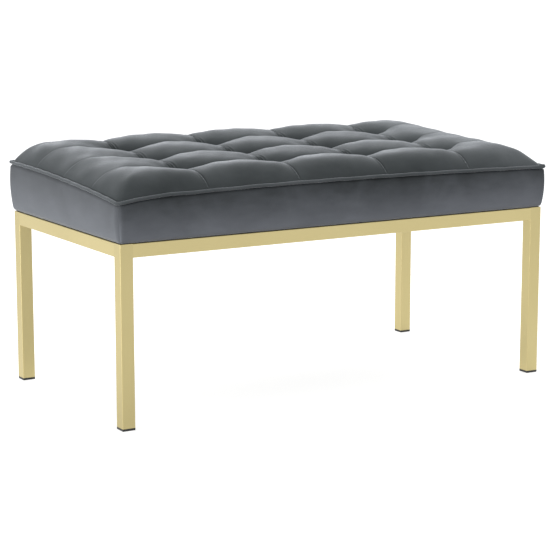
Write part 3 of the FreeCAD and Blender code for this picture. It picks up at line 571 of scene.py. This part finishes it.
def sewing(x, y):
    """Height of the seams, pleats, folds and ripple on the cover."""
    gap, dx, dy = near_tuft(x, y)
    free = fade(gap, 0.010, 0.024) * fade(edge_y - np.abs(y), 0, 0.006)
    free = free * fade(edge_x - np.abs(x), 0, 0.006)
    across_tufts = np.abs(x) < tuft_x[-1] + 0.02
    height = np.zeros_like(x)
    loose = 1 - seam_loss * past_outer_tufts(x)
    for offset, along, pitch in ((dx, y, column_pucker_pitch), (dy, x, row_pucker_pitch)):
        groove = -groove_depth * np.exp(-(offset / groove_width) ** 2)
        lip = lip_height * np.exp(-((offset + lip_place) / lip_width) ** 2)
        pucker = pucker_height * np.cos(2 * math.pi * along / pitch)
        pucker = pucker * np.exp(-((offset + pucker_place) / pucker_width) ** 2)
        height = height + (groove + lip + pucker) * free * loose
    behind = fade(dy, 0.008, 0.016) * (1 - fade(dy, 0.034, 0.056)) * across_tufts
    pleats = -pleat_height * np.cos(2 * math.pi * (dx + 0.001) / pleat_pitch)
    pleats = pleats * np.exp(-((dx + 0.002) / pleat_width) ** 4)
    height = height + pleats * behind
    angle = np.arctan2(dy, dx)
    folds = np.cos(folds_round * angle + 40 * x + 0.6)
    folds = folds * np.exp(-((gap - fold_reach) / fold_width) ** 2)
    height = height + fold_height * folds * across_tufts
    ripple = np.sin(71 * x + 23 * y) * np.sin(59 * y - 31 * x + 1.3)
    ripple = ripple + 0.5 * np.sin(137 * x - 91 * y)
    return height + ripple_height * ripple * free


# A flat seat for each button at the bottom of its pit
cup_radius, cup_slope = 0.0078, 0.005
top_z = top_z + sewing(top_x, top_y)
cup = 0.06 + 0.94 * fade(near_tuft(top_x, top_y)[0], cup_radius, cup_radius + cup_slope)
top_z = tuft_top + (top_z - tuft_top) * cup


def rounded_plan(x, y, reach_x, reach_y, radius):
    """Pull the corners of a rectangle in onto a radius."""
    over_x = np.clip((np.abs(x) - reach_x + radius) / radius, 0, 1)
    over_y = np.clip((np.abs(y) - reach_y + radius) / radius, 0, 1)
    pull = (1 - math.sqrt(0.5)) * over_x * over_y * radius
    return x - np.sign(x) * over_x * pull, y - np.sign(y) * over_y * pull


plan_radius = 0.013
top_x, top_y = rounded_plan(top_x, top_y, edge_x, edge_y, plan_radius)
cover_points = np.stack([top_x, top_y, top_z], -1)
cover_thickness = 0.003
velvet_top = shell("velvet_top", cover_points, lambda p: p - (0, 0, cover_thickness), 4, top_velvet)
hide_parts("top_cover")

# Foam block
# Cut foam, glued on the board. It follows the cover from inside, and its sides pull in a
# little between the corners.

foam_low, foam_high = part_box("foam_core")
finish, place = new_finish("cut_foam")
cells = place.noise(900.0, detail=4.0, roughness=0.7)
patch = place.noise(14.0, detail=2.0)
place.surface({
    "Base Color": (cells * 0.5 + patch * 0.5).blend((0.60, 0.50, 0.30, 1), (0.82, 0.74, 0.52, 1)),
    "Roughness": 0.9 + cells * 0.1,
    "Normal": cells.bump(0.5, 0.0006),
})
foam_x, foam_y = np.meshgrid(
    np.linspace(-foam_high.x, foam_high.x, 150),
    np.linspace(-foam_high.y, foam_high.y, 90), indexing="ij")
foam_under, side_pull = 0.0075, 0.002
pit_under, pit_floor, pit_slope = 0.008, 0.009, 3
foam_z = biscuit_height(foam_x, foam_y) - cover_thickness - foam_under
foam_gap = near_tuft(foam_x, foam_y)[0]
foam_pit = tuft_top - pit_under + pit_slope * np.maximum(foam_gap - pit_floor, 0)
foam_z = np.minimum(foam_z, foam_pit)
foam_x = foam_x * (1 - side_pull / foam_high.x * np.cos(math.pi / 2 * foam_y / foam_high.y))
foam_y = foam_y * (1 - side_pull / foam_high.y * np.cos(math.pi / 2 * foam_x / foam_high.x))


def foam_foot(points):
    """The same points, down on the board."""
    return np.concatenate([points[..., :2], np.full_like(points[..., :1], foam_low.z)], -1)


foam = shell("foam_block", np.stack([foam_x, foam_y, foam_z], -1), foam_foot, 3, finish)
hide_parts("foam_core")

# Covered buttons
# Twelve buttons covered in the same velvet, drawn down on the cover by the twine, with small
# gathers round their rims.

button_radius = (button_high.x - button_low.x) / 2
button_height = button_high.z - button_low.z
dome_turn, gather_depth, gathers = 0.72 * math.pi, 0.035, 16


def make_button(name, turn):
    """A low dome over a rounded rim, with a flat underside."""
    low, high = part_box(name)
    centre = (low + high) / 2
    spin = np.linspace(0, 2 * math.pi, 40, endpoint=False)
    rings = []
    for share in np.linspace(0, 1, 12):
        swing = share * dome_turn
        rings.append((math.sin(swing) ** 0.8, 0.42 + 0.58 * math.cos(swing)))
    rings += [(0.62, 0.0)]
    points = [(centre.x, centre.y, high.z)]
    for reach, rise in rings[1:]:
        gather = 1 - gather_depth * (1 - rise) * (1 + np.cos(gathers * spin + turn))
        for angle, pull in zip(spin, gather):
            points.append((
                centre.x + button_radius * reach * pull * math.cos(angle),
                centre.y + button_radius * reach * pull * math.sin(angle),
                low.z + button_height * max(rise, 0),
            ))
    count, loops = len(spin), len(rings) - 1
    faces = [[0, 1 + k, 1 + (k + 1) % count] for k in range(count)]
    for ring in range(loops - 1):
        first = 1 + ring * count
        for k in range(count):
            after = (k + 1) % count
            faces.append([first + k, first + count + k, first + count + after, first + after])
    faces.append([1 + (loops - 1) * count + k for k in range(count)][::-1])
    button = new_piece(f"velvet_{name}", points, faces, top_velvet)
    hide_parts(name)


for row in (1, 2, 3):
    for column in (1, 2, 3, 4):
        make_button(f"tuft_button_{row}_{column}", 1.7 * row + 0.9 * column)

# Side bands
# Four strips of velvet on a thin backing, pulled down over the edge of the board and folded
# under it. They are sewn together upright at the corners, and to the welt at the top.

band_out, band_foot, band_round, band_under = 0.008, 0.0045, 0.0105, 0.036
band_thickness = 0.0025
band_top, band_bulge, band_tuck, under_welt = 0.0068, 0.0030, 0.0042, 0.0026
over_dust_cover, tuck_from = 0.0006, 0.93
corner_groove, corner_width = 0.0020, 0.0030


def plan_point(along, out):
    """Places round the bench at a distance out from the steel. along runs 0-4, one per side."""
    reach_x, reach_y = half_length + out, half_depth + out
    radius = np.maximum(plan_radius + out - band_out, 0.0004)
    side = np.floor(along).astype(int) % 4
    share = along - np.floor(along)
    turn = 0.012
    corner = np.where(share < turn, (share / turn - 1) * math.pi / 4, 0)
    corner = np.where(share > 1 - turn, ((share - 1) / turn + 1) * math.pi / 4, corner)
    straight = np.clip((share - turn) / (1 - 2 * turn), 0, 1) * 2 - 1
    long_side = side % 2 == 0
    run = np.where(long_side, reach_x, reach_y) - radius
    wide = np.where(long_side, reach_y, reach_x) - radius
    forward = straight * run + radius * np.sin(corner)
    outward = wide + radius * np.cos(corner)
    x = np.choose(side, (forward, outward, -forward, -outward))
    y = np.choose(side, (-outward, forward, outward, -forward))
    return x, y


def band_lower():
    """Points of a band's outer face as (out past the steel, height), up to the end of its round."""
    low = steel_top + over_dust_cover
    under = band_foot - band_round
    flat = [(-band_under + (band_under + under) * k / 6, low) for k in range(6)]
    return flat + [
        (under + band_round * math.sin(a), low + band_round * (1 - math.cos(a)))
        for a in np.linspace(0, math.radians(80), 12)
    ]


def side_stops(side, middle_count):
    """Places along one side of the bench, closer together at its corners."""
    corner = np.linspace(0, 0.02, 13)
    middle = np.linspace(0.02, 0.98, middle_count)
    return side + np.concatenate([corner[:-1], middle, 1 - corner[::-1][1:]])


def make_band(index, side):
    """One strip, from its fold under the board up to the welt."""
    along = side_stops(index, 380 if index % 2 == 0 else 200)
    half_run = half_length if index % 2 == 0 else half_depth
    place = along - index
    from_end = np.minimum(place, 1 - place) * 2 * half_run
    seam = corner_groove * np.exp(-(from_end / corner_width) ** 2)
    columns = []
    lower = band_lower()
    for out, up in lower:
        x, y = plan_point(along, out - seam * fade(np.array(out), 0, 0.004))
        columns.append(np.stack([x, y, np.full_like(x, up)], -1))
    start_out, start_up = lower[-1]
    for share in np.linspace(0, 1, 34)[1:]:
        wave = np.sin(place * half_run * 61 + index)
        wave = wave + 0.6 * np.sin(place * half_run * 113 + 2 * index + 3 * share)
        bulge = band_bulge * 4 * share * (1 - share) * (1 + 0.12 * wave)
        tuck = band_tuck * fade(np.array(share), tuck_from, 1.0)
        out = start_out + (band_top - start_out) * share + bulge - tuck - seam
        x, y = plan_point(along, out)
        top = welt_height(x, y) - under_welt
        columns.append(np.stack([x, y, start_up + (top - start_up) * share], -1))
    inward = ((0, 1), (-1, 0), (0, -1), (1, 0))[index]
    step = band_thickness * np.array([*inward, 0.3])
    # The ends take the lighter copy of the velvet: painted light
    cloth = side_velvet if index % 2 == 0 else end_velvet_painted_light
    band = shell(f"velvet_band_{side}", np.stack(columns, 1), lambda p: p + step, 4, cloth)
    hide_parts(f"side_band_{side}")


for index, side in enumerate(("front", "right", "back", "left")):
    make_band(index, side)

# Side wadding
# A strip of white polyester wadding, laid round the sides of the foam so that the velvet is soft
# there. The bands are pulled down over it and hold it.

wadding_low, wadding_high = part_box("side_wadding")
finish, place = new_finish("white_wadding")
fluff = place.noise(320.0, detail=5.0, roughness=0.7)
place.surface({
    "Base Color": fluff.blend((0.70, 0.70, 0.68, 1), (0.86, 0.86, 0.84, 1)),
    "Roughness": 0.92 + fluff * 0.08,
    "Normal": fluff.bump(0.6, 0.0012),
})
wadding_out = wadding_high.x - half_length
wadding_thickness, wadding_round, wadding_uneven = 0.0025, 0.0008, 0.0003


def round_stops(long_count, short_count):
    """Places all round the bench, closer together at its corners."""
    counts = (long_count, short_count, long_count, short_count)
    return np.concatenate([side_stops(side, count)[:-1] for side, count in enumerate(counts)])


def make_wadding(finish):
    """A closed strip with a softly uneven outer face and rounded long edges."""
    along = round_stops(90, 50)
    section = []
    for share in np.linspace(0, 1, 9):
        section.append((wadding_out - wadding_round * (2 * share - 1) ** 4, share))
    section += [(wadding_out - wadding_thickness, share) for share in (0.98, 0.5, 0.02)]
    points = []
    for out, share in section:
        uneven = wadding_uneven * np.sin(along * 97 + 5 * share)
        x, y = plan_point(along, out - wadding_uneven + uneven)
        height = wadding_low.z + (wadding_high.z - wadding_low.z) * share
        points.append(np.stack([x, y, np.full_like(x, height)], -1))
    points = np.stack(points, 1)
    index = np.arange(points.shape[0] * points.shape[1]).reshape(points.shape[:2])
    wrapped = np.pad(index, ((0, 1), (0, 1)), mode="wrap")
    return new_piece("wadding_strip", points.reshape(-1, 3), grid_faces(wrapped), finish)


wadding = make_wadding(finish)
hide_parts("side_wadding")

# Welt
# A round cord wrapped in velvet, sewn in between the top cover and the side bands. Its two ends
# lap at the front right corner.


def cord_along(name, path, radius, closed, finish):
    """A round cord through a path of points; its ends are closed where the path is open."""
    ahead = np.roll(path, -1, 0) if closed else np.concatenate([path[1:], path[-1:]])
    behind = np.roll(path, 1, 0) if closed else np.concatenate([path[:1], path[:-1]])
    tangent = (ahead - behind) / np.linalg.norm(ahead - behind, axis=1)[:, None]
    side_way = np.cross(tangent, (0, 0, 1))
    side_way /= np.linalg.norm(side_way, axis=1)[:, None]
    up_way = np.cross(side_way, tangent)
    angles = np.linspace(0, 2 * math.pi, 16, endpoint=False)[None, :, None]
    ring = np.cos(angles) * side_way[:, None] + np.sin(angles) * up_way[:, None]
    points = path[:, None] + np.broadcast_to(radius, len(path))[:, None, None] * ring
    index = np.arange(points.shape[0] * points.shape[1]).reshape(points.shape[:2])
    around = np.pad(index, ((0, int(closed)), (0, 1)), mode="wrap")
    faces = grid_faces(around)
    if not closed:
        faces += [index[0].tolist(), index[-1][::-1].tolist()]
    return new_piece(name, points.reshape(-1, 3), faces, finish)


cord_radius, cord_inset, rib_depth, rib_points = 0.0031, 0.0004, 0.035, 4
welt_along = round_stops(460, 240)
path_x, path_y = plan_point(welt_along, welt_x - half_length - cord_inset)
slack = 0.0003 * np.sin(2 * math.pi * welt_along * 11)
slack = slack + 0.0001 * np.sin(2 * math.pi * welt_along * 29 + 1)
path = np.stack([path_x, path_y, welt_height(path_x, path_y) + slack], -1)
rib = 1 + rib_depth * np.cos(2 * math.pi * np.arange(len(path)) / rib_points)
welt = cord_along("velvet_welt", path, cord_radius * rib, True, welt_velvet)
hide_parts("welt_cord")

# The lap's run is measured in sides of the bench, so that 1 is the front right corner
lap_radius, lap_inset, lap_rise = 0.0029, 0.0009, 0.0019
lap_start, lap_end = 0.972, 1.018
lap = np.linspace(lap_start, lap_end, 40)
lap_x, lap_y = plan_point(lap, welt_x - half_length - lap_inset)
lap_share = np.linspace(-1, 1, len(lap))
lap_z = welt_height(lap_x, lap_y) + lap_rise * (1 - lap_share ** 2)
lap_path = np.stack([lap_x, lap_y, lap_z], -1)
lap_taper = 1 - 0.75 * np.abs(lap_share) ** 5
lap_piece = cord_along("velvet_welt_lap", lap_path, lap_radius * lap_taper, False, welt_velvet)

# Dust cover
# A sheet of thin black cloth, stapled under the board and pinched between the board and the
# steel. It sags a little in the frame's opening.

finish, place = new_finish("black_dust_cloth")
web = place.noise(700.0, detail=3.0, roughness=0.6)
place.surface({
    "Base Color": web.blend((0.010, 0.010, 0.010, 1), (0.030, 0.030, 0.030, 1)),
    "Roughness": 0.85 + web * 0.1,
    "Normal": web.bump(0.4, 0.0005),
})
dust_low, dust_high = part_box("dust_cover")
dust_thickness, dust_sag = 0.0004, 0.0045
dust_x, dust_y = np.meshgrid(
    np.linspace(dust_low.x, dust_high.x, 150),
    np.linspace(dust_low.y, dust_high.y, 80), indexing="ij")
# The sag starts inside the rails and grows inwards, but the plates and tabs keep the cloth up
rail_inside, grow_x, grow_y = 0.027, 0.16, 0.12
opening_x, opening_y = half_length - rail_inside, half_depth - rail_inside
inside = fade(opening_x - np.abs(dust_x), 0, grow_x) * fade(opening_y - np.abs(dust_y), 0, grow_y)
tab_half_width, tab_depth, tab_fade = 0.018, 0.034, 0.06
over_tab = 1 - fade(np.abs(dust_x), tab_half_width, tab_fade)
over_tab = over_tab * (1 - fade(opening_y - np.abs(dust_y), tab_depth, tab_fade))
plate_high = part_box("corner_plate_front_left")[1]
plate_x, plate_y, plate_fade = -plate_high.x, -plate_high.y, 0.03
over_plate = fade(np.abs(dust_x), plate_x - plate_fade, plate_x)
over_plate = over_plate * fade(np.abs(dust_y), plate_y - plate_fade, plate_y)
creases = 0.25 * np.sin(9 * dust_x + 14 * dust_y) + 0.12 * np.sin(47 * dust_x)
sag = dust_sag * inside * (1 - over_tab) * (1 - over_plate) * (1 + creases * inside)
dust_z = dust_low.z + dust_thickness + 0.0001 - sag
dust_points = np.stack([dust_x, dust_y, dust_z], -1)
dust = shell("dust_cloth", dust_points, lambda p: p - (0, 0, dust_thickness), 3, finish)
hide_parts("dust_cover")

# Tufting twine
# Waxed twine from each button down through the foam and the board to its washer: two plies
# that twist round each other.

finish, place = new_finish("waxed_twine")
fibre = place.stretched(900.0, 900.0, 260.0).noise(1.0, detail=3.0)
place.surface({
    "Base Color": fibre.blend((0.42, 0.36, 0.27, 1), (0.66, 0.60, 0.48, 1)),
    "Roughness": 0.55 + fibre * 0.3,
    "Normal": fibre.bump(0.3, 0.0003),
})
twine_low, twine_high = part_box("tuft_twines")
ply_radius, ply_lay = 0.00036, 0.006


def make_twines(finish):
    """All the plies of the twelve twines, as one piece with a part for each ply."""
    points, faces = [], []
    heights = np.linspace(twine_low.z, twine_high.z, 90)
    spin = np.linspace(0, 2 * math.pi, 8, endpoint=False)
    for tx, ty in tufts:
        for phase in (0, math.pi):
            first = len(points)
            for height in heights:
                turn = phase + 2 * math.pi * (height - twine_low.z) / ply_lay
                cx, cy = tx + ply_radius * math.cos(turn), ty + ply_radius * math.sin(turn)
                points += [
                    (cx + ply_radius * math.cos(a), cy + ply_radius * math.sin(a), height)
                    for a in spin
                ]
            index = first + np.arange(len(heights) * len(spin)).reshape(len(heights), len(spin))
            faces += grid_faces(np.pad(index, ((0, 0), (0, 1)), mode="wrap"), turned=True)
            faces += [index[0][::-1].tolist(), index[-1].tolist()]
    return new_piece("twisted_twines", points, faces, finish)


twines = make_twines(finish)
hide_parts("tuft_twines")

# The studio
# A pale floor that stays white in the picture and takes a faint shadow, a broad lamp to the
# left, one overhead, and an even pale surrounding.

floor_finish = bpy.data.materials.new("studio_floor")
floor_finish.use_nodes = True
floor_finish.node_tree.nodes.clear()
shade = Shade(floor_finish.node_tree)
camera_ray = shade.add("LightPath", give="Is Camera Ray")
seen = camera_ray.math("MAXIMUM", shade.add("LightPath", give="Is Glossy Ray"))
matt = shade.add("BsdfDiffuse", None, {"Color": (0.62, 0.62, 0.62, 1)})
glow = shade.add("Emission", None, {"Color": (1, 1, 1, 1), "Strength": seen * 0.70})
shade.add("OutputMaterial", None, {"Surface": shade.add("AddShader", None, {0: matt, 1: glow})})
floor_reach = 60
floor_turns = ((-1, -1), (1, -1), (1, 1), (-1, 1))
floor_corners = [(floor_reach * x, floor_reach * y, 0) for x, y in floor_turns]
mesh = bpy.data.meshes.new("studio_floor")
mesh.from_pydata(floor_corners, [], [(0, 1, 2, 3)])
floor = bpy.data.objects.new("studio_floor", mesh)
bpy.context.scene.collection.objects.link(floor)
floor.data.materials.append(floor_finish)


def softbox(name, place, target, size, power):
    """A broad rectangular lamp that faces a target."""
    lamp = bpy.data.objects.new(name, bpy.data.lights.new(name, "AREA"))
    lamp.data.shape = "RECTANGLE"
    lamp.data.size, lamp.data.size_y = size
    lamp.data.energy = power
    lamp.location = place
    direction = Vector(target) - Vector(place)
    lamp.rotation_euler = direction.to_track_quat("-Z", "Y").to_euler()
    bpy.context.scene.collection.objects.link(lamp)


softbox("left_softbox", (-3.4, -0.1, 0.45), (0, 0, 0.3), (2.6, 0.9), 46)
softbox("top_softbox", (0.9, 1.1, 2.3), (0.1, 0, 0.4), (2.2, 1.8), 43)
world = bpy.data.worlds.new("studio")
bpy.context.scene.world = world
world.use_nodes = True
world.node_tree.nodes.clear()
shade = Shade(world.node_tree)
seen = shade.add("LightPath", give="Is Camera Ray")
surround = seen.blend((0.76, 0.77, 0.78, 1), (1, 1, 1, 1))
back = shade.add("Background", None, {"Color": surround, "Strength": 1.0})
shade.add("OutputWorld", None, {"Surface": back})
bpy.context.scene.view_settings.view_transform = "Standard"
